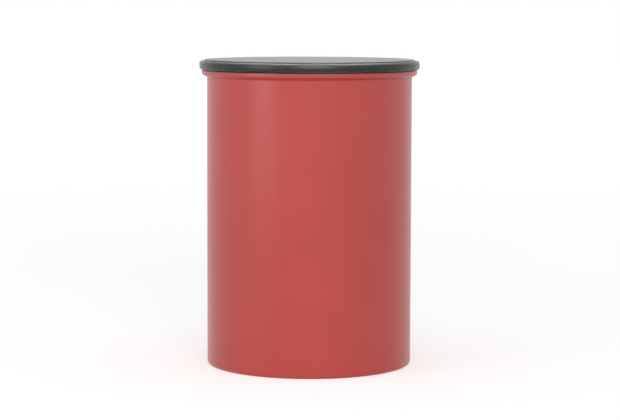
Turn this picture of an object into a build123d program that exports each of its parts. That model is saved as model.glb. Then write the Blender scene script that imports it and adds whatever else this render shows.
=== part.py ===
from build123d import *
import os
from math import acos, atan2, cos, degrees, hypot, pi, sin

os.makedirs("parts", exist_ok=True)

# Coffee canister with a press-down inner lid and a valve that the handle works.
# Millimetres, +Z up, origin at the centre of the base, front towards -Y, axle along X.
# Drawn shut: outer lid on, inner lid above the coffee, handle folded to the front.

# Steel canister
canister_outer_r = 59.65
canister_wall = 0.6
base_edge_r = 2.1
base_raise = 2.0
base_slope_run = 3.0
base_bend_r = 1.5
foot_width = 7.6
rim_top_z = 173.0
rim_width = 3.7
rim_height = 5.25
rim_under_rise = 1.8
rim_round_share = 0.49
rim_neck_r = 0.5

# Outer lid
lid_overhang = 1.35
lid_flange = 4.05
lid_edge_bulge = 0.5
lid_lip_drop = 0.75
lid_plateau_inset = 2.9
lid_plateau_rise = 0.7
lid_panel = 2.6
lid_plug_wall = 1.6
lid_plug_depth = 8.4
lid_seat_gap = 0.25
lid_plug_clearance = 0.3
lid_edge_round = 1.6
lid_under_round_share = 1.1
lid_lip_round = 0.1
lid_step_round = 0.5
lid_plug_round_share = 0.44
lid_inside_round = 1.5

# Inner lid: where it is drawn, its dish, plate and seal
inner_lid_depth = 65.0
inner_lid_height = 28.0
plate_thickness = 1.8
plate_edge_gap = 1.85
plate_edge_round = 0.6
plenum_height = 8.2
floor_thickness = 2.0
dish_wall = 2.2
dish_rim_gap = 1.25
dish_rim_lip = 1.4
dish_rim_height = 2.2
dish_rim_round = 0.9
dish_floor_round = 3.0
seal_land_gap = 4.5
seal_seat_gap = 0.05
seal_body = 1.7
seal_height = 9.2
seal_wall_gap = 0.2
seal_lip_root = 1.5
seal_lip_tip = 0.7
seal_lip_rise = 1.6
seal_lip_spacing = 3.9
seal_first_lip = 1.1

# Vents and screws of the plate
vent_count = 9
vent_off_axis = 21.0
vent_length = 11.0
vent_width = 2.4
screw_count = 3
screw_off_axis = 38.0
screw_first_angle = 90.0
screw_head_r = 2.7
screw_head_height = 1.4
screw_shank_r = 1.25
screw_length = 8.0
screw_cross_length = 2.8
screw_cross_width = 0.6
screw_cross_depth = 0.8
screw_boss_r = 3.4
screw_tip_room = 0.6

# Hub, valve port and cap
hub_inner_r = 12.2
hub_wall = 2.8
hub_over_axle = 1.5
hub_root_round = 1.5
port_r = 7.0
guide_r = 5.4
guide_arm_count = 3
guide_arm_width = 2.0
seat_width = 1.2
seat_height = 1.0
cap_spigot_wall = 1.1
cap_spigot_depth = 1.1
cap_roof = 1.6
cap_headroom = 0.4
cap_edge_round = 1.8
button_hole_r = 7.0

# Valve: lift, disc, stem, stirrup, spring and button
valve_lift = 2.2
disc_r = 9.4
disc_thickness = 2.0
disc_edge_round = 0.4
disc_seat_gap = 0.05
stem_r = 2.0
stem_clearance = 0.2
stem_tip = 1.0
stem_tip_chamfer = 0.4
stem_flange_r = 6.6
stem_flange = 1.2
stirrup_depth = 7.0
stirrup_arm = 2.0
stirrup_bar = 1.2
stirrup_clearance = 0.5
stirrup_corner_r = 0.45
clip_r = 5.2
clip_thickness = 0.8
clip_groove = 0.5
clip_mouth = 2.4
clip_plate_room = 1.8
spring_wire_r = 0.35
spring_coil_r = 4.2
spring_turns = 3
button_clearance = 0.2
button_wall = 1.3
button_proud = 0.6
button_round = 0.6

# Axle, cam and handle
axle_r = 2.0
axle_flat = 0.6
axle_chamfer = 0.4
axle_running_gap = 0.05
keyed_gap = 0.05
cam_width = 6.0
cam_base_r = 3.0
cam_follow_gap = 0.1
cam_under_gap = 0.3
cam_nose_flat = 1.0
cam_nose_round = 0.5
cam_flank_points = 9
handle_outer_r = 40.0
handle_width = 9.0
handle_thickness = 5.0
handle_hub_gap = 0.4
handle_eye_depth = 4.0
handle_eye_room = 0.4
handle_corner_r = 4.0
handle_end_round = 1.2
handle_edge_round = 1.6

# One overrun for every cut that runs past a face, and the width that picks a corner
overrun = 1.0
pick = 0.01

# Levels and radii that follow from the sizes above
handle_swing = pi / 2
canister_inner_r = canister_outer_r - canister_wall
foot_inner_r = canister_outer_r - foot_width
rim_outer_r = canister_inner_r + rim_width
rim_round = min(rim_width, rim_height - rim_under_rise) * rim_round_share
rim_shoulder_r = rim_outer_r - rim_round
rim_shoulder_z = rim_top_z - rim_round
rim_root_z = rim_top_z - rim_height
rim_under_z = rim_root_z + rim_under_rise

flange_bottom_z = rim_top_z + lid_seat_gap
flange_top_z = flange_bottom_z + lid_flange
lid_top_z = flange_top_z + lid_plateau_rise
lid_outer_r = rim_outer_r + lid_overhang
lid_edge_r = lid_outer_r - lid_edge_bulge
lid_lip_z = rim_top_z - lid_lip_drop
lid_seat_r = rim_round + lid_seat_gap
lid_lip_r = rim_shoulder_r + (lid_seat_r ** 2 - (lid_lip_z - rim_shoulder_z) ** 2) ** 0.5
lid_under_round = (lid_edge_r - lid_lip_r) * lid_under_round_share
lid_plateau_r = lid_outer_r - lid_plateau_inset
plug_outer_r = canister_inner_r - lid_plug_clearance
plug_inner_r = plug_outer_r - lid_plug_wall
lid_plug_round = lid_plug_wall * lid_plug_round_share
plug_bottom_z = flange_bottom_z - lid_plug_depth
panel_bottom_z = lid_top_z - lid_panel

inner_lid_z = rim_top_z - inner_lid_depth
plate_top_z = inner_lid_z + plate_thickness
floor_bottom_z = plate_top_z + plenum_height
floor_top_z = floor_bottom_z + floor_thickness
rim_z = inner_lid_z + inner_lid_height
seal_top_z = plate_top_z + seal_height
seal_land_r = canister_inner_r - seal_land_gap
dish_rim_r = canister_inner_r - dish_rim_gap
dish_band_r = dish_rim_r - dish_rim_lip
dish_inner_r = dish_band_r - dish_wall
skirt_inner_r = seal_land_r - dish_wall

seat_top_z = floor_top_z + seat_height
disc_bottom_z = seat_top_z + disc_seat_gap
disc_top_z = disc_bottom_z + disc_thickness
stem_flange_top_z = disc_top_z + stem_flange
axle_z = stem_flange_top_z + valve_lift + cam_under_gap + cam_base_r
bar_bottom_z = axle_z + cam_base_r + cam_follow_gap
bar_top_z = bar_bottom_z + stirrup_bar
hub_outer_r = hub_inner_r + hub_wall
hub_top_z = axle_z + axle_r + hub_over_axle
cap_roof_z = bar_top_z + valve_lift + cap_headroom
cap_top_z = cap_roof_z + cap_roof
button_top_z = cap_top_z + button_proud
clip_bottom_z = plate_top_z + clip_plate_room
clip_top_z = clip_bottom_z + clip_thickness
stem_end_z = clip_bottom_z - stem_tip

# The cam's flank is an involute: its reach grows in step with the handle's turn,
# so the stem rises at a steady rate over the whole swing.
cam_rate = valve_lift / handle_swing
cam_full_reach = cam_base_r + valve_lift
cam_nose_drop = cam_rate + cam_nose_flat
cam_nose_r = hypot(cam_full_reach, cam_nose_drop)
stirrup_inner_y = cam_nose_r + stirrup_clearance
stirrup_outer_y = stirrup_inner_y + stirrup_arm

handle_inner_r = handle_outer_r - handle_width
handle_eye_x = hub_outer_r + handle_hub_gap
axle_half_length = handle_eye_x + handle_eye_depth

# Section planes: across the axle, with Y to the right and Z up
axle_plane = Plane(origin=(0, 0, axle_z), x_dir=(0, 1, 0), z_dir=(1, 0, 0))


def corners_at(section, *places):
    """The corners of a section that lie at the given (radius, height) places."""
    return [
        corner
        for corner in section.vertices()
        if any(hypot(corner.X - r, corner.Y - z) < pick for r, z in places)
    ]


def keyed_bore():
    """The axle's section with its flat, a little larger all round, for a piece keyed to it."""
    bore_r = axle_r + keyed_gap
    Circle(bore_r)
    with Locations((0, bore_r - axle_flat)):
        Rectangle(bore_r + bore_r, bore_r, align=(Align.CENTER, Align.MIN), mode=Mode.SUBTRACT)


# Canister: one sheet bent from base to mouth, with the rim rolled outwards and pressed narrow
with BuildPart() as canister_body:
    with BuildSketch(Plane.XZ) as sheet_section:
        with BuildLine():
            FilletPolyline(
                (0, base_raise),
                (foot_inner_r - base_slope_run, base_raise),
                (foot_inner_r, 0),
                (canister_outer_r, 0),
                (canister_outer_r, rim_root_z),
                radius=[base_bend_r, base_bend_r, base_edge_r],
            )
            offset(amount=canister_wall, side=Side.LEFT)
        make_face()
        with BuildLine():
            Polyline(
                (canister_inner_r, rim_root_z),
                (canister_outer_r, rim_root_z),
                (rim_outer_r, rim_under_z),
                (rim_outer_r, rim_top_z),
                (canister_inner_r, rim_top_z),
                close=True,
            )
        make_face()
        fillet(corners_at(sheet_section, (canister_outer_r, rim_root_z)), radius=rim_neck_r)
        fillet(
            corners_at(
                sheet_section,
                (rim_outer_r, rim_under_z),
                (rim_outer_r, rim_top_z),
                (canister_inner_r, rim_top_z),
            ),
            radius=rim_round,
        )
    revolve(axis=Axis.Z)

canister_body.part.label = "canister_body"
export_step(canister_body.part, "parts/canister_body.step")

# Outer lid: a flat panel with a bulging edge, a seat and lip on the rim, and a plug in the mouth
with BuildPart() as outer_lid:
    with BuildSketch(Plane.XZ) as lid_section:
        with BuildLine():
            Polyline(
                (0, lid_top_z),
                (lid_plateau_r, lid_top_z),
                (lid_plateau_r, flange_top_z),
                (lid_edge_r, flange_top_z),
            )
            edge = ThreePointArc(
                (lid_edge_r, flange_top_z),
                (lid_outer_r, (flange_top_z + lid_lip_z) / 2),
                (lid_edge_r, lid_lip_z),
            )
            lip = Line(edge @ 1, (lid_lip_r, lid_lip_z))
            seat = RadiusArc(lip @ 1, (rim_shoulder_r, flange_bottom_z), -lid_seat_r)
            Polyline(
                seat @ 1,
                (plug_outer_r, flange_bottom_z),
                (plug_outer_r, plug_bottom_z),
                (plug_inner_r, plug_bottom_z),
                (plug_inner_r, panel_bottom_z),
                (0, panel_bottom_z),
                (0, lid_top_z),
            )
        make_face()
        fillet(corners_at(lid_section, (lid_edge_r, flange_top_z)), radius=lid_edge_round)
        fillet(corners_at(lid_section, (lid_edge_r, lid_lip_z)), radius=lid_under_round)
        fillet(corners_at(lid_section, (lid_lip_r, lid_lip_z)), radius=lid_lip_round)
        fillet(corners_at(lid_section, (lid_plateau_r, lid_top_z)), radius=lid_step_round)
        fillet(
            corners_at(
                lid_section,
                (plug_outer_r, flange_bottom_z),
                (plug_outer_r, plug_bottom_z),
                (plug_inner_r, plug_bottom_z),
            ),
            radius=lid_plug_round,
        )
        fillet(corners_at(lid_section, (plug_inner_r, panel_bottom_z)), radius=lid_inside_round)
    revolve(axis=Axis.Z)

outer_lid.part.label = "outer_lid"
export_step(outer_lid.part, "parts/outer_lid.step")

# Dish of the inner lid: skirt, seal land, band and rim outside; hub and valve seat inside
with BuildPart() as plunger_dish:
    with BuildSketch(Plane.XZ) as dish_section:
        with BuildLine():
            Polyline(
                (port_r, floor_bottom_z),
                (skirt_inner_r, floor_bottom_z),
                (skirt_inner_r, plate_top_z),
                (seal_land_r, plate_top_z),
                (seal_land_r, seal_top_z),
                (dish_band_r, seal_top_z),
                (dish_band_r, rim_z - dish_rim_height),
                (dish_rim_r, rim_z - dish_rim_height),
                (dish_rim_r, rim_z),
                (dish_inner_r, rim_z),
                (dish_inner_r, floor_top_z),
                (hub_outer_r, floor_top_z),
                (hub_outer_r, hub_top_z),
                (hub_inner_r, hub_top_z),
                (hub_inner_r, floor_top_z),
                (port_r + seat_width, floor_top_z),
                (port_r + seat_width, seat_top_z),
                (port_r, seat_top_z),
                close=True,
            )
        make_face()
        fillet(
            corners_at(
                dish_section,
                (dish_rim_r, rim_z - dish_rim_height),
                (dish_rim_r, rim_z),
                (dish_inner_r, rim_z),
            ),
            radius=dish_rim_round,
        )
        fillet(corners_at(dish_section, (dish_inner_r, floor_top_z)), radius=dish_floor_round)
        fillet(corners_at(dish_section, (hub_outer_r, floor_top_z)), radius=hub_root_round)
    revolve(axis=Axis.Z)

    # The stem's guide, a ring on three arms across the port
    with BuildSketch(Plane.XY.offset(floor_bottom_z)):
        Circle(guide_r)
        with PolarLocations(port_r / 2, guide_arm_count, start_angle=screw_first_angle):
            Rectangle(port_r + seat_width, guide_arm_width)
        Circle(stem_r + stem_clearance, mode=Mode.SUBTRACT)
    extrude(amount=floor_thickness)

    # Bosses under the floor, which the plate's screws bite into
    with BuildSketch(Plane.XY.offset(plate_top_z)):
        with PolarLocations(screw_off_axis, screw_count, start_angle=screw_first_angle):
            Circle(screw_boss_r)
    extrude(amount=plenum_height)
    with BuildSketch(Plane.XY.offset(plate_top_z)):
        with PolarLocations(screw_off_axis, screw_count, start_angle=screw_first_angle):
            Circle(screw_shank_r + keyed_gap)
    extrude(amount=screw_length - plate_thickness + screw_tip_room, mode=Mode.SUBTRACT)

    # The axle's bearings, one bore right through the hub
    with BuildSketch(axle_plane):
        Circle(axle_r + axle_running_gap)
    extrude(amount=hub_outer_r + overrun, both=True, mode=Mode.SUBTRACT)

plunger_dish.part.label = "plunger_dish"
export_step(plunger_dish.part, "parts/plunger_dish.step")

# Seal: a band on the dish's land with two lips that lean up against the steel
with BuildPart() as wiper_gasket:
    seal_inner_r = seal_land_r + seal_seat_gap
    seal_outer_r = seal_inner_r + seal_body
    seal_tip_r = canister_inner_r - seal_wall_gap
    with BuildSketch(Plane.XZ):
        with Locations((seal_inner_r, plate_top_z)):
            Rectangle(seal_body, seal_height, align=(Align.MIN, Align.MIN))
        for lip in range(2):
            lip_z = plate_top_z + seal_first_lip + lip * seal_lip_spacing
            with BuildLine():
                Polyline(
                    (seal_inner_r, lip_z),
                    (seal_outer_r, lip_z),
                    (seal_tip_r, lip_z + seal_lip_rise),
                    (seal_tip_r, lip_z + seal_lip_rise + seal_lip_tip),
                    (seal_outer_r, lip_z + seal_lip_root),
                    (seal_inner_r, lip_z + seal_lip_root),
                    close=True,
                )
            make_face()
    revolve(axis=Axis.Z)

wiper_gasket.part.label = "wiper_gasket"
export_step(wiper_gasket.part, "parts/wiper_gasket.step")

# Plate under the inner lid: it traps the seal and lets air up to the valve
screw_taper = degrees(atan2(screw_head_r - screw_shank_r, screw_head_height))
with BuildPart() as base_plate:
    with BuildSketch(Plane.XY.offset(inner_lid_z)):
        Circle(canister_inner_r - plate_edge_gap)
    extrude(amount=plate_thickness)
    fillet(base_plate.edges().group_by(Axis.Z)[0], radius=plate_edge_round)
    with BuildSketch(Plane.XY.offset(inner_lid_z)):
        with PolarLocations(vent_off_axis, vent_count):
            SlotOverall(vent_length, vent_width)
        with PolarLocations(screw_off_axis, screw_count, start_angle=screw_first_angle):
            Circle(screw_shank_r + keyed_gap)
    extrude(amount=plate_thickness, mode=Mode.SUBTRACT)
    with BuildSketch(Plane.XY.offset(inner_lid_z)):
        with PolarLocations(screw_off_axis, screw_count, start_angle=screw_first_angle):
            Circle(screw_head_r + keyed_gap)
    extrude(amount=screw_head_height, taper=screw_taper, mode=Mode.SUBTRACT)

base_plate.part.label = "base_plate"
export_step(base_plate.part, "parts/base_plate.step")

# Countersunk screws, heads flush with the plate's underside
with BuildPart() as base_plate_screws:
    with BuildSketch(Plane.XY.offset(inner_lid_z)):
        with PolarLocations(screw_off_axis, screw_count, start_angle=screw_first_angle):
            Circle(screw_head_r)
    extrude(amount=screw_head_height, taper=screw_taper)
    with BuildSketch(Plane.XY.offset(inner_lid_z)):
        with PolarLocations(screw_off_axis, screw_count, start_angle=screw_first_angle):
            Circle(screw_shank_r)
    extrude(amount=screw_length)
    with BuildSketch(Plane.XY.offset(inner_lid_z)):
        with PolarLocations(screw_off_axis, screw_count, start_angle=screw_first_angle):
            Rectangle(screw_cross_length, screw_cross_width)
            Rectangle(screw_cross_width, screw_cross_length)
    extrude(amount=screw_cross_depth, mode=Mode.SUBTRACT)

base_plate_screws.part.label = "base_plate_screws"
export_step(base_plate_screws.part, "parts/base_plate_screws.step")

# Cap over the hub: a shallow cup whose spigot drops into the hub
with BuildPart() as hub_cap:
    spigot_outer_r = hub_inner_r - keyed_gap
    spigot_inner_r = spigot_outer_r - cap_spigot_wall
    with BuildSketch(Plane.XZ) as cap_section:
        with BuildLine():
            Polyline(
                (hub_outer_r, hub_top_z),
                (hub_outer_r, cap_top_z),
                (button_hole_r, cap_top_z),
                (button_hole_r, cap_roof_z),
                (spigot_inner_r, cap_roof_z),
                (spigot_inner_r, hub_top_z - cap_spigot_depth),
                (spigot_outer_r, hub_top_z - cap_spigot_depth),
                (spigot_outer_r, hub_top_z),
                close=True,
            )
        make_face()
        fillet(corners_at(cap_section, (hub_outer_r, cap_top_z)), radius=cap_edge_round)
    revolve(axis=Axis.Z)

hub_cap.part.label = "hub_cap"
export_step(hub_cap.part, "parts/hub_cap.step")

# Stem: guided in the port, with a flange on the disc and a stirrup round the cam
with BuildPart() as valve_stem:
    with BuildSketch(Plane.XY.offset(stem_end_z)):
        Circle(stem_r)
    extrude(amount=stem_flange_top_z - stem_end_z)
    chamfer(valve_stem.edges().group_by(Axis.Z)[0], length=stem_tip_chamfer)
    with BuildSketch(Plane.XY.offset(disc_top_z)):
        Circle(stem_flange_r)
    extrude(amount=stem_flange)
    with BuildSketch(axle_plane) as stirrup_section:
        with Locations((0, disc_top_z - axle_z)):
            Rectangle(
                stirrup_outer_y + stirrup_outer_y,
                bar_top_z - disc_top_z,
                align=(Align.CENTER, Align.MIN),
            )
        with Locations((0, stem_flange_top_z - axle_z)):
            Rectangle(
                stirrup_inner_y + stirrup_inner_y,
                bar_bottom_z - stem_flange_top_z,
                align=(Align.CENTER, Align.MIN),
                mode=Mode.SUBTRACT,
            )
        fillet(
            stirrup_section.vertices().filter_by_position(
                Axis.X, -stirrup_inner_y - pick, stirrup_inner_y + pick
            ),
            radius=stirrup_corner_r,
        )
    extrude(amount=stirrup_depth / 2, both=True)
    with BuildSketch(Plane.XY.offset(clip_bottom_z)):
        Circle(stem_r + overrun)
        Circle(stem_r - clip_groove, mode=Mode.SUBTRACT)
    extrude(amount=clip_thickness, mode=Mode.SUBTRACT)

valve_stem.part.label = "valve_stem"
export_step(valve_stem.part, "parts/valve_stem.step")

# Silicone disc under the stem's flange, lying on the seat
with BuildPart() as valve_disc:
    with BuildSketch(Plane.XY.offset(disc_bottom_z)):
        Circle(disc_r)
        Circle(stem_r + keyed_gap, mode=Mode.SUBTRACT)
    extrude(amount=disc_thickness)
    disc_rims = valve_disc.edges().filter_by(GeomType.CIRCLE)
    fillet(disc_rims.group_by(SortBy.RADIUS)[-1], radius=disc_edge_round)

valve_disc.part.label = "valve_disc"
export_step(valve_disc.part, "parts/valve_disc.step")

# Clip in the stem's groove, open at one side so that it pushes on
with BuildPart() as spring_clip:
    with BuildSketch(Plane.XY.offset(clip_bottom_z)):
        Circle(clip_r)
        Circle(stem_r - clip_groove + keyed_gap, mode=Mode.SUBTRACT)
        Rectangle(clip_r + overrun, clip_mouth, align=(Align.MIN, Align.CENTER), mode=Mode.SUBTRACT)
    extrude(amount=clip_thickness)

spring_clip.part.label = "spring_clip"
export_step(spring_clip.part, "parts/spring_clip.step")

# Valve spring between the clip and the guide
spring_first_z = clip_top_z + spring_wire_r
spring_last_z = floor_bottom_z - spring_wire_r
spring_pitch = (spring_last_z - spring_first_z) / spring_turns


def coil_station(turns):
    """Where the spring's wire is after this many turns, and the way that it runs there."""
    angle = 2 * pi * turns
    place = Vector(
        spring_coil_r * cos(angle),
        spring_coil_r * sin(angle),
        spring_first_z + spring_pitch * turns,
    )
    way = Vector(-spring_coil_r * sin(angle), spring_coil_r * cos(angle), spring_pitch / (2 * pi))
    return place, way.normalized()


def coil_half_turn(first, last):
    """Half a turn of wire as two arcs that meet smoothly half way."""
    (start, start_way), (end, end_way) = first, last
    across, ways = end - start, start_way + end_way
    spread = 2 * (1 - start_way.dot(end_way))
    along = across.dot(ways)
    reach = ((along**2 + spread * across.dot(across)) ** 0.5 - along) / spread
    start_knee, end_knee = start + start_way * reach, end - end_way * reach
    middle = (start_knee + end_knee) / 2
    TangentArc(start, middle, tangent=start_way)
    TangentArc(middle, end, tangent=end_knee - start_knee)


with BuildPart() as valve_spring:
    with BuildLine() as coil:
        half_turns = [coil_station(half / 2) for half in range(2 * spring_turns + 1)]
        for first, last in zip(half_turns, half_turns[1:]):
            coil_half_turn(first, last)
    with BuildSketch(Plane(origin=half_turns[0][0], z_dir=half_turns[0][1])):
        Circle(spring_wire_r)
    sweep(path=coil.line)

valve_spring.part.label = "valve_spring"
export_step(valve_spring.part, "parts/valve_spring.step")
print("gap between the spring's turns", round(spring_pitch - spring_wire_r - spring_wire_r, 3))

# Button: a hollow cap on the stirrup that stands up through the hub's cap
with BuildPart() as valve_button:
    button_r = button_hole_r - button_clearance
    with BuildSketch(Plane.XY.offset(bar_top_z)):
        Circle(button_r)
    extrude(amount=button_top_z - bar_top_z)
    fillet(valve_button.edges().group_by(Axis.Z)[-1], radius=button_round)
    with BuildSketch(Plane.XY.offset(bar_top_z)):
        Circle(button_r - button_wall)
    extrude(amount=button_top_z - bar_top_z - button_wall, mode=Mode.SUBTRACT)

valve_button.part.label = "valve_button"
export_step(valve_button.part, "parts/valve_button.step")

# Axle: a pin with one flat at the cam and at each end, round where it turns in the hub
with BuildPart() as handle_axle:
    with BuildSketch(axle_plane):
        Circle(axle_r)
    extrude(amount=axle_half_length, both=True)
    chamfer(handle_axle.edges().filter_by(GeomType.CIRCLE), length=axle_chamfer)
    with BuildSketch(Plane.XY.offset(axle_z + axle_r - axle_flat)):
        Rectangle(cam_width, axle_r + axle_r)
        for side in (-1, 1):
            with Locations((side * (axle_half_length + overrun), 0)):
                Rectangle(
                    handle_eye_depth + handle_eye_depth + overrun + overrun,
                    axle_r + axle_r,
                )
    extrude(amount=axle_flat, mode=Mode.SUBTRACT)

handle_axle.part.label = "handle_axle"
export_step(handle_axle.part, "parts/handle_axle.step")


def flank_point(turn):
    """A point of the cam's flank, whose normal meets the bar after this much turn."""
    reach = cam_base_r + cam_rate * turn
    facing = pi / 2 + turn
    return (
        reach * cos(facing) - cam_rate * sin(facing),
        reach * sin(facing) + cam_rate * cos(facing),
    )


# Cam: base round, a flat at rest, the involute flank, a nose and a straight back
with BuildPart() as valve_cam:
    nose = (-cam_full_reach, -cam_nose_drop)
    back_angle = atan2(nose[1], nose[0]) + acos(cam_base_r / cam_nose_r)
    back = (cam_base_r * cos(back_angle), cam_base_r * sin(back_angle))
    flank_turns = [handle_swing * step / (cam_flank_points - 1) for step in range(cam_flank_points)]
    flank = [flank_point(turn) for turn in flank_turns]
    with BuildSketch(axle_plane.offset(-cam_width / 2)) as cam_section:
        with BuildLine():
            CenterArc((0, 0), cam_base_r, degrees(back_angle), degrees(pi / 2 - back_angle))
            Line((0, cam_base_r), flank[0])
            Spline(flank)
            Line(flank[-1], nose)
            Line(nose, back)
        make_face()
        fillet(corners_at(cam_section, nose), radius=cam_nose_round)
    extrude(amount=cam_width)
    with BuildSketch(axle_plane.offset(-cam_width / 2)):
        keyed_bore()
    extrude(amount=cam_width, mode=Mode.SUBTRACT)

valve_cam.part.label = "valve_cam"
export_step(valve_cam.part, "parts/valve_cam.step")

# Handle: a half ring on two arms that lie along the axle
with BuildPart() as handle_bail:
    with BuildSketch(Plane.XY.offset(axle_z - handle_thickness / 2)) as handle_plan:
        Circle(handle_outer_r)
        Circle(handle_inner_r, mode=Mode.SUBTRACT)
        Rectangle(handle_inner_r + handle_inner_r + handle_width, handle_width)
        with Locations((0, handle_width / 2)):
            Rectangle(
                handle_outer_r + handle_outer_r,
                handle_outer_r,
                align=(Align.CENTER, Align.MIN),
                mode=Mode.SUBTRACT,
            )
        Rectangle(handle_eye_x + handle_eye_x, handle_width, mode=Mode.SUBTRACT)
        inner_corner_x = (handle_inner_r**2 - (handle_width / 2) ** 2) ** 0.5
        outer_corner_x = (handle_outer_r**2 - (handle_width / 2) ** 2) ** 0.5
        fillet(
            corners_at(
                handle_plan,
                (-inner_corner_x, -handle_width / 2),
                (inner_corner_x, -handle_width / 2),
                (-outer_corner_x, handle_width / 2),
                (outer_corner_x, handle_width / 2),
            ),
            radius=handle_corner_r,
        )
        fillet(
            corners_at(
                handle_plan,
                (-handle_eye_x, -handle_width / 2),
                (handle_eye_x, -handle_width / 2),
                (-handle_eye_x, handle_width / 2),
                (handle_eye_x, handle_width / 2),
            ),
            radius=handle_end_round,
        )
    extrude(amount=handle_thickness)
    handle_edges = handle_bail.edges().group_by(Axis.Z)
    fillet(handle_edges[0] + handle_edges[-1], radius=handle_edge_round)
    with BuildSketch(axle_plane):
        keyed_bore()
    extrude(amount=axle_half_length + handle_eye_room, both=True, mode=Mode.SUBTRACT)

handle_bail.part.label = "handle_bail"
export_step(handle_bail.part, "parts/handle_bail.step")
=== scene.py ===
from math import atan2, cos, hypot, pi, radians, sin, tan

import bpy
from mathutils import Euler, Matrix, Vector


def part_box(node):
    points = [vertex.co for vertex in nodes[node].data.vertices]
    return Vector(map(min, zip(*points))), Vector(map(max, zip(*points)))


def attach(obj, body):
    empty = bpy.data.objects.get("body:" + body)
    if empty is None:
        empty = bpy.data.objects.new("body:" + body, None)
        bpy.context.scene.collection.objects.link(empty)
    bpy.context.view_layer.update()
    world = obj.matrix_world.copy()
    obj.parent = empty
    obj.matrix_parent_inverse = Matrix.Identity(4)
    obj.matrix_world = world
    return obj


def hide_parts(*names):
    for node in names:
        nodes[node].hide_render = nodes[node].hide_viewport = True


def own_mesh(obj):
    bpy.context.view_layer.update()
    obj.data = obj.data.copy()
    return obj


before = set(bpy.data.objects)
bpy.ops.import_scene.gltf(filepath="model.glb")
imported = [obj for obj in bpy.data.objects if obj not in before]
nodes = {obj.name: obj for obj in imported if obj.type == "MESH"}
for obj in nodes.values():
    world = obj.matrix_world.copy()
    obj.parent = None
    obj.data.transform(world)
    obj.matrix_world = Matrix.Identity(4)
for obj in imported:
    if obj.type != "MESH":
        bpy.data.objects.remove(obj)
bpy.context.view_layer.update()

MM = 0.001

# Sizes read from the frame, in metres
canister_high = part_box("canister_body")[1]
lid_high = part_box("outer_lid")[1]
spring_low, spring_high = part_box("valve_spring")
rim_top_z = canister_high.z
rim_outer_r = canister_high.x
lid_top_z = lid_high.z

# Sizes of the canister's sheet, as the CAD piece has them
sheet = 0.6 * MM
rim_width = 3.7 * MM
rim_root_z = rim_top_z - 5.25 * MM
rim_under_z = rim_root_z + 1.8 * MM
rim_round_share = 0.49
rim_round = (rim_top_z - rim_under_z) * rim_round_share
rim_neck_r = 0.5 * MM
canister_inner_r = rim_outer_r - rim_width
canister_outer_r = canister_inner_r + sheet
base_edge_r = 2.1 * MM
base_raise = 2.0 * MM
base_bend_r = 1.5 * MM
base_slope_run = 3.0 * MM
foot_inner_r = canister_outer_r - 7.6 * MM
paint_edge_z = rim_top_z - 1.5 * MM
paint_thickness = 0.06 * MM

# Sizes of the valve spring's wire
spring_wire_r = 0.35 * MM
spring_coil_r = 4.2 * MM
spring_turns = 3

# How finely the meshes are divided and edges are sampled
corner_steps = 6
turned_segments = 256
stations_per_turn = 40
wire_sides = 16
same_place = 1e-7
on_axis = 1e-9
bevel_samples = 6


# Outlines and meshes

def softened(corners):
    """An outline through (r, z, round) corners, with each corner rounded by its own radius."""
    outline = [corners[0][:2]]
    for before, here, after in zip(corners, corners[1:], corners[2:]):
        r, z, rounding = here
        if not rounding:
            outline.append((r, z))
            continue
        back = (before[0] - r, before[1] - z)
        on = (after[0] - r, after[1] - z)
        back_length, on_length = hypot(*back), hypot(*on)
        back = (back[0] / back_length, back[1] / back_length)
        on = (on[0] / on_length, on[1] / on_length)
        across, along = back[0] * on[1] - back[1] * on[0], back[0] * on[0] + back[1] * on[1]
        half = abs(atan2(across, along)) / 2
        cut = rounding / tan(half)
        start = (r + back[0] * cut, z + back[1] * cut)
        end = (r + on[0] * cut, z + on[1] * cut)
        middle = (back[0] + on[0], back[1] + on[1])
        middle_length = hypot(*middle)
        centre_reach = rounding / sin(half)
        centre_r = r + middle[0] / middle_length * centre_reach
        centre_z = z + middle[1] / middle_length * centre_reach
        first = atan2(start[1] - centre_z, start[0] - centre_r)
        turn = atan2(end[1] - centre_z, end[0] - centre_r) - first
        turn = (turn + pi) % (2 * pi) - pi
        for step in range(corner_steps + 1):
            angle = first + turn * step / corner_steps
            outline.append((centre_r + rounding * cos(angle), centre_z + rounding * sin(angle)))
    outline.append(corners[-1][:2])
    return outline


def new_piece(name, vertices, faces, materials, face_finishes, sharp_angle):
    """A smooth-shaded object with sharp edges where its faces meet at more than the angle."""
    mesh = bpy.data.meshes.new(name)
    mesh.from_pydata(vertices, [], faces)
    for material in materials:
        mesh.materials.append(material)
    mesh.polygons.foreach_set("material_index", face_finishes)
    mesh.polygons.foreach_set("use_smooth", [True] * len(faces))
    mesh.validate()
    piece = bpy.data.objects.new(name, mesh)
    bpy.context.scene.collection.objects.link(piece)
    mesh.set_sharp_from_angle(angle=radians(sharp_angle))
    return piece


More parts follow.
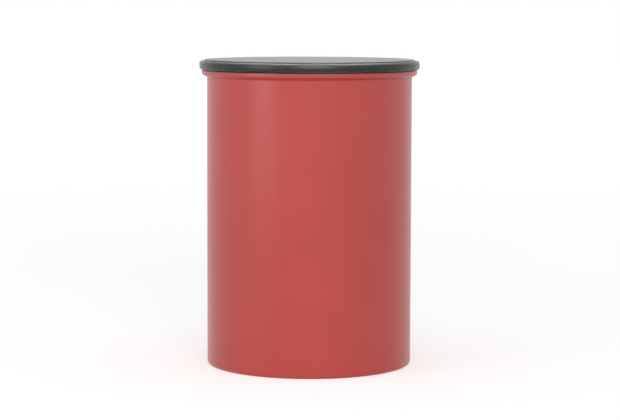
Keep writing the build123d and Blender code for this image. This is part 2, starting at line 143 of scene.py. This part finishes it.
def turned(name, outlines, materials):
    """A mesh turned about Z from outlines in order, each with the material of the same place."""
    points, finishes = [], []
    for finish, outline in enumerate(outlines):
        for place, (r, z) in enumerate(outline):
            if points and hypot(r - points[-1][0], z - points[-1][1]) < same_place:
                continue
            if points:
                finishes.append(finish if place else finish - 1)
            points.append((r, z))
    vertices, rings = [], []
    for r, z in points:
        if r < on_axis:
            rings.append([len(vertices)])
            vertices.append((0.0, 0.0, z))
            continue
        rings.append(list(range(len(vertices), len(vertices) + turned_segments)))
        for segment in range(turned_segments):
            angle = 2 * pi * segment / turned_segments
            vertices.append((r * cos(angle), r * sin(angle), z))
    faces, face_finishes = [], []
    for low, high, finish in zip(rings, rings[1:], finishes):
        for segment in range(turned_segments):
            following = (segment + 1) % turned_segments
            if len(low) == 1:
                face = (high[following], high[segment], low[0])
            elif len(high) == 1:
                face = (low[following], high[0], low[segment])
            else:
                face = (low[following], high[following], high[segment], low[segment])
            faces.append(face)
            face_finishes.append(finish)
    return new_piece(name, vertices, faces, materials, face_finishes, sharp_angle=38)


def coil(name, wire_r, coil_r, turns, low_z, high_z, material):
    """A round wire on a helix about Z, closed at both ends, a ring of points at each station."""
    stations = turns * stations_per_turn
    climb = high_z - low_z - 2 * wire_r
    rise = climb / stations
    lean = atan2(climb, 2 * pi * turns * coil_r)
    vertices, faces = [], []
    for station in range(stations + 1):
        turn = 2 * pi * turns * station / stations
        level = low_z + wire_r + rise * station
        for side in range(wire_sides):
            around = 2 * pi * side / wire_sides
            out, up = wire_r * cos(around), wire_r * sin(around)
            r, back = coil_r + out, up * sin(lean)
            x = r * cos(turn) + back * sin(turn)
            y = r * sin(turn) - back * cos(turn)
            vertices.append((x, y, level + up * cos(lean)))
    for station in range(stations):
        here, ahead = station * wire_sides, (station + 1) * wire_sides
        for side in range(wire_sides):
            following = (side + 1) % wire_sides
            faces.append((here + side, ahead + side, ahead + following, here + following))
    faces.append(tuple(range(wire_sides)))
    faces.append(tuple(range(stations * wire_sides, (stations + 1) * wire_sides))[::-1])
    return new_piece(name, vertices, faces, [material], [0] * len(faces), sharp_angle=50)


# Short ways to place shader nodes

def give(tree, value, socket):
    """Feed a socket from another node's output, or set it to a plain value."""
    if hasattr(value, "is_output"):
        tree.links.new(value, socket)
    else:
        socket.default_value = value


def maths(tree, operation, *values):
    node = tree.nodes.new("ShaderNodeMath")
    node.operation = operation
    for value, socket in zip(values, node.inputs):
        give(tree, value, socket)
    return node.outputs[0]


def plus(tree, first, second):
    return maths(tree, "ADD", first, second)


def times(tree, first, second):
    return maths(tree, "MULTIPLY", first, second)


def spread(tree, value, low, high, to_low=0.0, to_high=1.0):
    """Map a value from low..high onto to_low..to_high, and hold it at the ends."""
    node = tree.nodes.new("ShaderNodeMapRange")
    labels = ("Value", "From Min", "From Max", "To Min", "To Max")
    for label, number in zip(labels, (value, low, high, to_low, to_high)):
        give(tree, number, node.inputs[label])
    return node.outputs["Result"]


def noise(tree, place, scale, detail=2.0, roughness=0.5):
    node = tree.nodes.new("ShaderNodeTexNoise")
    labels = ("Vector", "Scale", "Detail", "Roughness")
    for label, value in zip(labels, (place, scale, detail, roughness)):
        give(tree, value, node.inputs[label])
    return node.outputs["Fac"]


def object_place(tree):
    return tree.nodes.new("ShaderNodeTexCoord").outputs["Object"]


def parts_of(tree, vector):
    split = tree.nodes.new("ShaderNodeSeparateXYZ")
    tree.links.new(vector, split.inputs[0])
    return split.outputs


def reach(tree, x, y):
    """How far a place is from the canister's axis."""
    return maths(tree, "SQRT", plus(tree, times(tree, x, x), times(tree, y, y)))


# Shader groups that several finishes share

def new_group(name, inputs, outputs):
    group = bpy.data.node_groups.new(name, "ShaderNodeTree")
    for label, value in inputs:
        socket = group.interface.new_socket(label, in_out="INPUT", socket_type="NodeSocketFloat")
        socket.default_value = value
    for label in outputs:
        group.interface.new_socket(label, in_out="OUTPUT", socket_type="NodeSocketFloat")
    given, made = group.nodes.new("NodeGroupInput"), group.nodes.new("NodeGroupOutput")
    return group, given.outputs, made.inputs


def make_moulded_grain():
    """Fine pitted texture of a coat or a moulding: a height, and a slow drift of tone."""
    group, given, made = new_group(
        "moulded_grain",
        [("Grain per metre", 2500.0), ("Drift per metre", 25.0)],
        ["Height", "Drift"],
    )
    coarse_scale, coarse_share = 0.3, 0.35
    drift_band = 0.3, 0.7
    place = object_place(group)
    fine = noise(group, place, given["Grain per metre"], 3.0, 0.55)
    coarse = noise(group, place, times(group, given["Grain per metre"], coarse_scale), 1.0)
    fine = times(group, fine, 1 - coarse_share)
    coarse = times(group, coarse, coarse_share)
    give(group, plus(group, fine, coarse), made["Height"])
    drift = noise(group, place, given["Drift per metre"])
    give(group, spread(group, drift, *drift_band), made["Drift"])
    return group


def make_turned_marks():
    """Fine lines that run round the axis, as brushing on a lathe leaves them."""
    group, given, made = new_group(
        "turned_marks", [("Lines per metre", 9000.0)], ["Height", "Tone"]
    )
    lean, wander, least_r = 0.83, 1.7, 1.0 * MM
    tone_band = 0.35, 0.65
    x, y, z = parts_of(group, object_place(group))
    r = reach(group, x, y)
    safe_r = maths(group, "MAXIMUM", r, least_r)
    level = plus(group, z, times(group, r, lean))
    along = group.nodes.new("ShaderNodeCombineXYZ")
    give(group, times(group, level, given["Lines per metre"]), along.inputs[0])
    give(group, times(group, maths(group, "DIVIDE", x, safe_r), wander), along.inputs[1])
    give(group, times(group, maths(group, "DIVIDE", y, safe_r), wander), along.inputs[2])
    lines = noise(group, along.outputs[0], 1.0, 2.0, 0.6)
    give(group, lines, made["Height"])
    give(group, spread(group, lines, *tone_band), made["Tone"])
    return group


def make_edge_wear():
    """A mask of outside edges rubbed smooth by handling, broken up by noise."""
    group, given, made = new_group(
        "edge_wear", [("Width", 0.6 * MM), ("Breaks per metre", 260.0)], ["Mask"]
    )
    bend_band, break_band = (0.995, 0.86), (0.36, 0.62)
    bevel = group.nodes.new("ShaderNodeBevel")
    bevel.samples = bevel_samples
    give(group, given["Width"], bevel.inputs["Radius"])
    plain = group.nodes.new("ShaderNodeNewGeometry")
    across = group.nodes.new("ShaderNodeVectorMath")
    across.operation = "DOT_PRODUCT"
    give(group, bevel.outputs["Normal"], across.inputs[0])
    give(group, plain.outputs["Normal"], across.inputs[1])
    bend = spread(group, across.outputs["Value"], *bend_band)
    breaks = noise(group, object_place(group), given["Breaks per metre"], 3.0, 0.6)
    give(group, times(group, bend, spread(group, breaks, *break_band)), made["Mask"])
    return group


def make_dust():
    """A mask of dust that settles on faces that look up, in soft patches and specks."""
    group, given, made = new_group(
        "settled_dust", [("Patches per metre", 90.0), ("Amount", 0.3)], ["Mask"]
    )
    specks_per_metre, speck_share = 3800.0, 0.5
    upward_band, patch_band, speck_band = (0.3, 1.0), (0.35, 0.75), (0.64, 0.72)
    geometry = group.nodes.new("ShaderNodeNewGeometry")
    upward = spread(group, parts_of(group, geometry.outputs["Normal"])[2], *upward_band)
    place = object_place(group)
    patch_noise = noise(group, place, given["Patches per metre"], 4.0, 0.6)
    patches = times(group, spread(group, patch_noise, *patch_band), 1 - speck_share)
    speck_noise = noise(group, place, specks_per_metre, 1.0)
    specks = times(group, spread(group, speck_noise, *speck_band), speck_share)
    soft = plus(group, patches, specks)
    give(group, times(group, times(group, upward, soft), given["Amount"]), made["Mask"])
    return group


moulded_grain = make_moulded_grain()
turned_marks = make_turned_marks()
edge_wear = make_edge_wear()
settled_dust = make_dust()


# Finishes. A roughness range that crosses about 0.28 renders in patches, so none does

class Finish:
    """A material with its Principled shader, and short ways to place groups and mixes in it."""

    def __init__(self, name, **plain):
        self.material = bpy.data.materials.new(name)
        self.material.use_nodes = True
        self.tree = self.material.node_tree
        self.shader = self.tree.nodes["Principled BSDF"]
        for label, value in plain.items():
            self.shader.inputs[label.replace("_", " ")].default_value = value

    def group(self, tree, **values):
        node = self.tree.nodes.new("ShaderNodeGroup")
        node.node_tree = tree
        for label, value in values.items():
            node.inputs[label.replace("_", " ")].default_value = value
        return node.outputs

    def blend(self, mask, first, second):
        """A colour that goes from first to second by a mask. Either may be a colour or a socket."""
        node = self.tree.nodes.new("ShaderNodeMix")
        node.data_type = "RGBA"
        give(self.tree, mask, node.inputs["Factor"])
        for value, socket in ((first, node.inputs[6]), (second, node.inputs[7])):
            give(self.tree, value if hasattr(value, "is_output") else (*value, 1.0), socket)
        return node.outputs[2]

    def feed(self, label, value):
        give(self.tree, value, self.shader.inputs[label])

    def bump(self, height, depth, strength):
        node = self.tree.nodes.new("ShaderNodeBump")
        node.inputs["Distance"].default_value = depth
        node.inputs["Strength"].default_value = strength
        give(self.tree, height, node.inputs["Height"])
        self.feed("Normal", node.outputs["Normal"])

    def ranged(self, value, low, high):
        return spread(self.tree, value, 0.0, 1.0, low, high)


def satin_red_coat():
    """Powder coat: even satin red, the faintest pitting, colour that drifts a little."""
    deep_red, light_red = (0.475, 0.052, 0.044), (0.51, 0.06, 0.051)
    finish = Finish("satin_red_coat", Metallic=0.0)
    grain = finish.group(moulded_grain, Grain_per_metre=2600.0, Drift_per_metre=16.0)
    finish.feed("Base Color", finish.blend(grain["Drift"], deep_red, light_red))
    finish.feed("Roughness", finish.ranged(grain["Drift"], 0.29, 0.33))
    finish.bump(grain["Height"], 0.02 * MM, 0.6)
    return finish.material


def brushed_steel():
    """Bare stainless sheet, brushed round the axis, with painted shade: a dark band beside the
    coat's edge, where the lid's lip shades the rim.
    """
    dark_steel, light_steel = (0.47, 0.46, 0.445), (0.53, 0.52, 0.505)
    # Painted shade: nearly black steel beside the coat's edge, standing in for the shade under the
    # lid's lip
    painted_lip_shade = (0.075, 0.08, 0.075)
    outside = rim_outer_r - 1.5 * MM, rim_outer_r - 1.0 * MM
    below_top = rim_top_z - 0.4 * MM, rim_top_z - 0.8 * MM
    finish = Finish("brushed_steel", Metallic=1.0)
    tree = finish.tree
    marks = finish.group(turned_marks, Lines_per_metre=5200.0)
    x, y, z = parts_of(tree, object_place(tree))
    on_outside = spread(tree, reach(tree, x, y), *outside)
    # Where the painted shade under the lid's lip goes: the rim's outside, just below its top
    lip_shade_mask = times(tree, on_outside, spread(tree, z, *below_top))
    brushed = finish.blend(marks["Tone"], dark_steel, light_steel)
    finish.feed("Base Color", finish.blend(lip_shade_mask, brushed, painted_lip_shade))
    finish.feed("Roughness", finish.ranged(marks["Tone"], 0.29, 0.37))
    finish.bump(marks["Height"], 0.012 * MM, 0.5)
    return finish.material


def smoke_clear():
    """Smoke-tinted clear plastic: polished, with a satin texture on its top and outer edge, and
    painted shade on its plug.
    """
    deep_clear, light_clear = (0.87, 0.94, 0.88), (0.91, 0.975, 0.92)
    # Painted shade: the plug under the panel is nearly black, so the lid's front band reads as dark
    # as the shade inside the canister
    plug_painted_shade = (0.03, 0.031, 0.03)
    plateau = lid_top_z - 0.12 * MM, lid_top_z - 0.03 * MM
    outer_edge = rim_outer_r + 0.1 * MM, rim_outer_r + 0.3 * MM
    step = lid_top_z - 1.0 * MM, lid_top_z - 0.9 * MM
    panel_underside = lid_top_z - 2.7 * MM, lid_top_z - 2.8 * MM
    mouth = canister_inner_r, canister_inner_r - 0.1 * MM
    finish = Finish("smoke_clear", Metallic=0.0, IOR=1.5, Specular_IOR_Level=0.3)
    finish.shader.inputs["Transmission Weight"].default_value = 1.0
    tree = finish.tree
    grain = finish.group(moulded_grain, Grain_per_metre=2400.0, Drift_per_metre=60.0)
    x, y, z = parts_of(tree, object_place(tree))
    r = reach(tree, x, y)
    on_step = maths(tree, "MAXIMUM", spread(tree, r, *outer_edge), spread(tree, z, *step))
    on_top = maths(tree, "MAXIMUM", spread(tree, z, *plateau), on_step)
    # Where the painted shade goes: the plug below the panel, inside the canister's mouth
    plug_shade_mask = times(tree, spread(tree, z, *panel_underside), spread(tree, r, *mouth))
    clear = finish.blend(grain["Drift"], deep_clear, light_clear)
    finish.feed("Base Color", finish.blend(plug_shade_mask, clear, plug_painted_shade))
    satin = finish.ranged(grain["Drift"], 0.29, 0.33)
    polished = finish.ranged(grain["Drift"], 0.03, 0.07)
    finish.feed("Roughness", spread(tree, on_top, 0.0, 1.0, polished, satin))
    finish.bump(times(tree, grain["Height"], on_top), 0.008 * MM, 0.8)
    tint = tree.nodes.new("ShaderNodeVolumeAbsorption")
    tint.inputs["Color"].default_value = (0.48, 0.535, 0.5, 1.0)
    tint.inputs["Density"].default_value = 760.0
    tree.links.new(tint.outputs["Volume"], tree.nodes["Material Output"].inputs["Volume"])
    return finish.material


def moulded_black(name, low, high, roughness, grain_per_metre, depth):
    """Black moulding with its own grain, edges rubbed a little shinier, and a trace of dust."""
    dust_colour = (0.32, 0.3, 0.27)
    rubbed_gain, rubbed_shine, drift_of_shine = 2.4, 0.06, 0.04
    finish = Finish(name, Metallic=0.0)
    grain = finish.group(moulded_grain, Grain_per_metre=grain_per_metre, Drift_per_metre=40.0)
    wear = finish.group(edge_wear)
    dust = finish.group(settled_dust, Amount=0.12)
    body = finish.blend(grain["Drift"], low, high)
    rubbed = finish.blend(wear["Mask"], body, tuple(rubbed_gain * part for part in high))
    finish.feed("Base Color", finish.blend(dust["Mask"], rubbed, dust_colour))
    shine = times(finish.tree, wear["Mask"], rubbed_shine)
    dull = finish.ranged(grain["Drift"], roughness - drift_of_shine, roughness + drift_of_shine)
    finish.feed("Roughness", maths(finish.tree, "SUBTRACT", dull, shine))
    finish.bump(grain["Height"], depth, 0.7)
    return finish.material


def soft_silicone(name, low, high, roughness):
    """Matte silicone, which holds a little lint."""
    lint_colour, drift_of_shine = (0.4, 0.39, 0.37), 0.05
    finish = Finish(name, Metallic=0.0)
    finish.shader.inputs["Sheen Weight"].default_value = 0.15
    grain = finish.group(moulded_grain, Grain_per_metre=4200.0, Drift_per_metre=55.0)
    lint = finish.group(settled_dust, Amount=0.2, Patches_per_metre=160.0)
    body = finish.blend(grain["Drift"], low, high)
    finish.feed("Base Color", finish.blend(lint["Mask"], body, lint_colour))
    dull = finish.ranged(grain["Drift"], roughness - drift_of_shine, roughness + drift_of_shine)
    finish.feed("Roughness", dull)
    finish.bump(grain["Height"], 0.015 * MM, 0.5)
    return finish.material


def bright_hardware():
    """Small steel parts, drawn and tumbled."""
    dark_steel, light_steel, rubbed = (0.46, 0.46, 0.45), (0.62, 0.61, 0.6), (0.78, 0.77, 0.75)
    finish = Finish("bright_hardware", Metallic=1.0)
    grain = finish.group(moulded_grain, Grain_per_metre=1800.0, Drift_per_metre=300.0)
    wear = finish.group(edge_wear, Width=0.3 * MM)
    drift = finish.blend(grain["Drift"], dark_steel, light_steel)
    finish.feed("Base Color", finish.blend(wear["Mask"], drift, rubbed))
    finish.feed("Roughness", finish.ranged(grain["Drift"], 0.29, 0.38))
    finish.bump(grain["Height"], 0.01 * MM, 0.4)
    return finish.material


red_coat = satin_red_coat()
steel = brushed_steel()
smoke = smoke_clear()
lid_black = moulded_black(
    "moulded_black", (0.016, 0.016, 0.017), (0.022, 0.022, 0.023),
    roughness=0.46, grain_per_metre=2200.0, depth=0.03 * MM,
)
handle_black = moulded_black(
    "handle_black", (0.018, 0.018, 0.019), (0.024, 0.024, 0.025),
    roughness=0.39, grain_per_metre=1500.0, depth=0.012 * MM,
)
seal_grey = soft_silicone("seal_grey", (0.05, 0.05, 0.052), (0.07, 0.07, 0.072), 0.6)
valve_white = soft_silicone("valve_white", (0.42, 0.42, 0.4), (0.5, 0.5, 0.48), 0.55)
hardware = bright_hardware()


# The canister: red coat outside as far as the paint's edge on the rim, bare steel inside

def canister_outlines():
    coated = softened(
        [
            (0.0, base_raise, 0),
            (foot_inner_r - base_slope_run, base_raise, base_bend_r),
            (foot_inner_r, 0.0, base_bend_r),
            (canister_outer_r, 0.0, base_edge_r),
            (canister_outer_r, rim_root_z, rim_neck_r),
            (rim_outer_r, rim_under_z, rim_round),
            (rim_outer_r, paint_edge_z, 0),
        ]
    )
    bare = softened(
        [
            (rim_outer_r - paint_thickness, paint_edge_z, 0),
            (rim_outer_r - paint_thickness, rim_top_z, rim_round),
            (canister_inner_r, rim_top_z, rim_round),
            (canister_inner_r, sheet, base_edge_r - sheet),
            (foot_inner_r, sheet, base_bend_r),
            (foot_inner_r - base_slope_run, base_raise + sheet, base_bend_r),
            (0.0, base_raise + sheet, 0),
        ]
    )
    return coated, bare


canister = turned("canister_shell", canister_outlines(), [red_coat, steel])
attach(canister, "canister")
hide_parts("canister_body")


# The valve spring, a coil between the guide above and the clip below, rides on the plunger
spring = coil(
    "valve_spring_coil", spring_wire_r, spring_coil_r, spring_turns,
    spring_low.z, spring_high.z, hardware,
)
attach(spring, "plunger")
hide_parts("valve_spring")
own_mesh(spring)


# Finishes of the pieces that keep their CAD shape
plastics = bpy.data.collections.new("plastics")
for finish, names in (
    (smoke, ["outer_lid"]),
    (lid_black, ["plunger_dish", "base_plate", "hub_cap", "valve_stem", "valve_cam"]),
    (handle_black, ["handle_bail", "valve_button"]),
    (seal_grey, ["wiper_gasket"]),
    (valve_white, ["valve_disc"]),
    (hardware, ["base_plate_screws", "handle_axle", "spring_clip"]),
):
    for name in names:
        nodes[name].data.materials.clear()
        nodes[name].data.materials.append(finish)
        if finish is not hardware:
            plastics.objects.link(nodes[name])


# Camera: a little above the lid, looking slightly down
photo_width = 620
focal_pixels = 2116.8
sensor_width = 36.0
camera_distance = 1.23401
camera_height = 0.2123
camera_pitch = 0.09884
camera_roll = 0.0026
camera_right = 0.0005

camera_data = bpy.data.cameras.new("camera")
camera_data.sensor_width = sensor_width
camera_data.lens = focal_pixels / photo_width * sensor_width
camera_data.clip_end = 20.0
camera = bpy.data.objects.new("camera", camera_data)
camera.location = (camera_right, -camera_distance, camera_height)
looking_down = Euler((pi / 2 - camera_pitch, 0.0, 0.0)).to_matrix()
rolled = Euler((0.0, 0.0, camera_roll)).to_matrix()
camera.rotation_euler = (looking_down @ rolled).to_euler()
bpy.context.scene.collection.objects.link(camera)
bpy.context.scene.camera = camera


# Floor: pale, with a glow for the eye and for reflections that carries it to white
floor_reach = 6.0
glow_near, glow_far = 0.48, 0.68
glow_from, glow_to = 0.4, 3.0


def seen_by_eye_or_gloss(tree):
    path = tree.nodes.new("ShaderNodeLightPath").outputs
    eye_or_gloss = maths(tree, "MAXIMUM", path["Is Camera Ray"], path["Is Glossy Ray"])
    return maths(tree, "MAXIMUM", eye_or_gloss, path["Is Transmission Ray"])


def pale_floor():
    material = bpy.data.materials.new("pale_floor")
    material.use_nodes = True
    tree = material.node_tree
    shader = tree.nodes["Principled BSDF"]
    shader.inputs["Base Color"].default_value = (0.85, 0.85, 0.85, 1.0)
    shader.inputs["Roughness"].default_value = 0.9
    shader.inputs["Specular IOR Level"].default_value = 0.0
    shader.inputs["Emission Color"].default_value = (1.0, 1.0, 1.0, 1.0)
    away = tree.nodes.new("ShaderNodeVectorMath")
    away.operation = "LENGTH"
    give(tree, object_place(tree), away.inputs[0])
    glow = spread(tree, away.outputs["Value"], glow_from, glow_to, glow_near, glow_far)
    glow_seen = times(tree, glow, seen_by_eye_or_gloss(tree))
    give(tree, glow_seen, shader.inputs["Emission Strength"])
    return material


floor_mesh = bpy.data.meshes.new("floor")
floor_corners = [
    (side * floor_reach, end * floor_reach, 0) for side, end in ((-1, -1), (1, -1), (1, 1), (-1, 1))
]
floor_mesh.from_pydata(floor_corners, [], [(0, 1, 2, 3)])
floor_mesh.materials.append(pale_floor())
floor = bpy.data.objects.new("floor", floor_mesh)
bpy.context.scene.collection.objects.link(floor)


# Light: a white room and soft boxes
room_light_level, room_seen_level = 0.5, 1.0
world = bpy.data.worlds.new("white_room")
world.use_nodes = True
bpy.context.scene.world = world
room = world.node_tree
room_light = room.nodes["Background"]
room_light.inputs["Color"].default_value = (1.0, 1.0, 1.0, 1.0)
room_strength = spread(
    room, seen_by_eye_or_gloss(room), 0.0, 1.0, room_light_level, room_seen_level
)
give(room, room_strength, room_light.inputs["Strength"])


def soft_box(name, azimuth, elevation, distance, width, height, power):
    """A rectangular lamp that looks at the canister's middle. Azimuth 0 is the camera's side."""
    turn, rise = radians(azimuth), radians(elevation)
    lamp = bpy.data.lights.new(name, "AREA")
    lamp.shape = "RECTANGLE"
    lamp.size, lamp.size_y = width, height
    lamp.energy = power
    box = bpy.data.objects.new(name, lamp)
    box.location = (
        distance * cos(rise) * sin(turn),
        -distance * cos(rise) * cos(turn),
        lid_top_z / 2 + distance * sin(rise),
    )
    box.rotation_euler = (pi / 2 - rise, 0.0, turn)
    bpy.context.scene.collection.objects.link(box)
    return box


fill = soft_box("front_fill", 5, 15, distance=2.5, width=1.5, height=1.0, power=24.0)
fill.visible_glossy = False
soft_box("left_box", -51, 7, distance=1.3, width=0.6, height=0.6, power=2.8)
# The overhead box is for the gloss of the plastics. Bare steel would clip to white under it.
overhead = soft_box("overhead", 0, 90, distance=1.5, width=2.4, height=2.4, power=90.0)
overhead.visible_diffuse = False
overhead.visible_transmission = False
overhead.light_linking.receiver_collection = plastics

bpy.context.scene.view_settings.view_transform = "Standard"
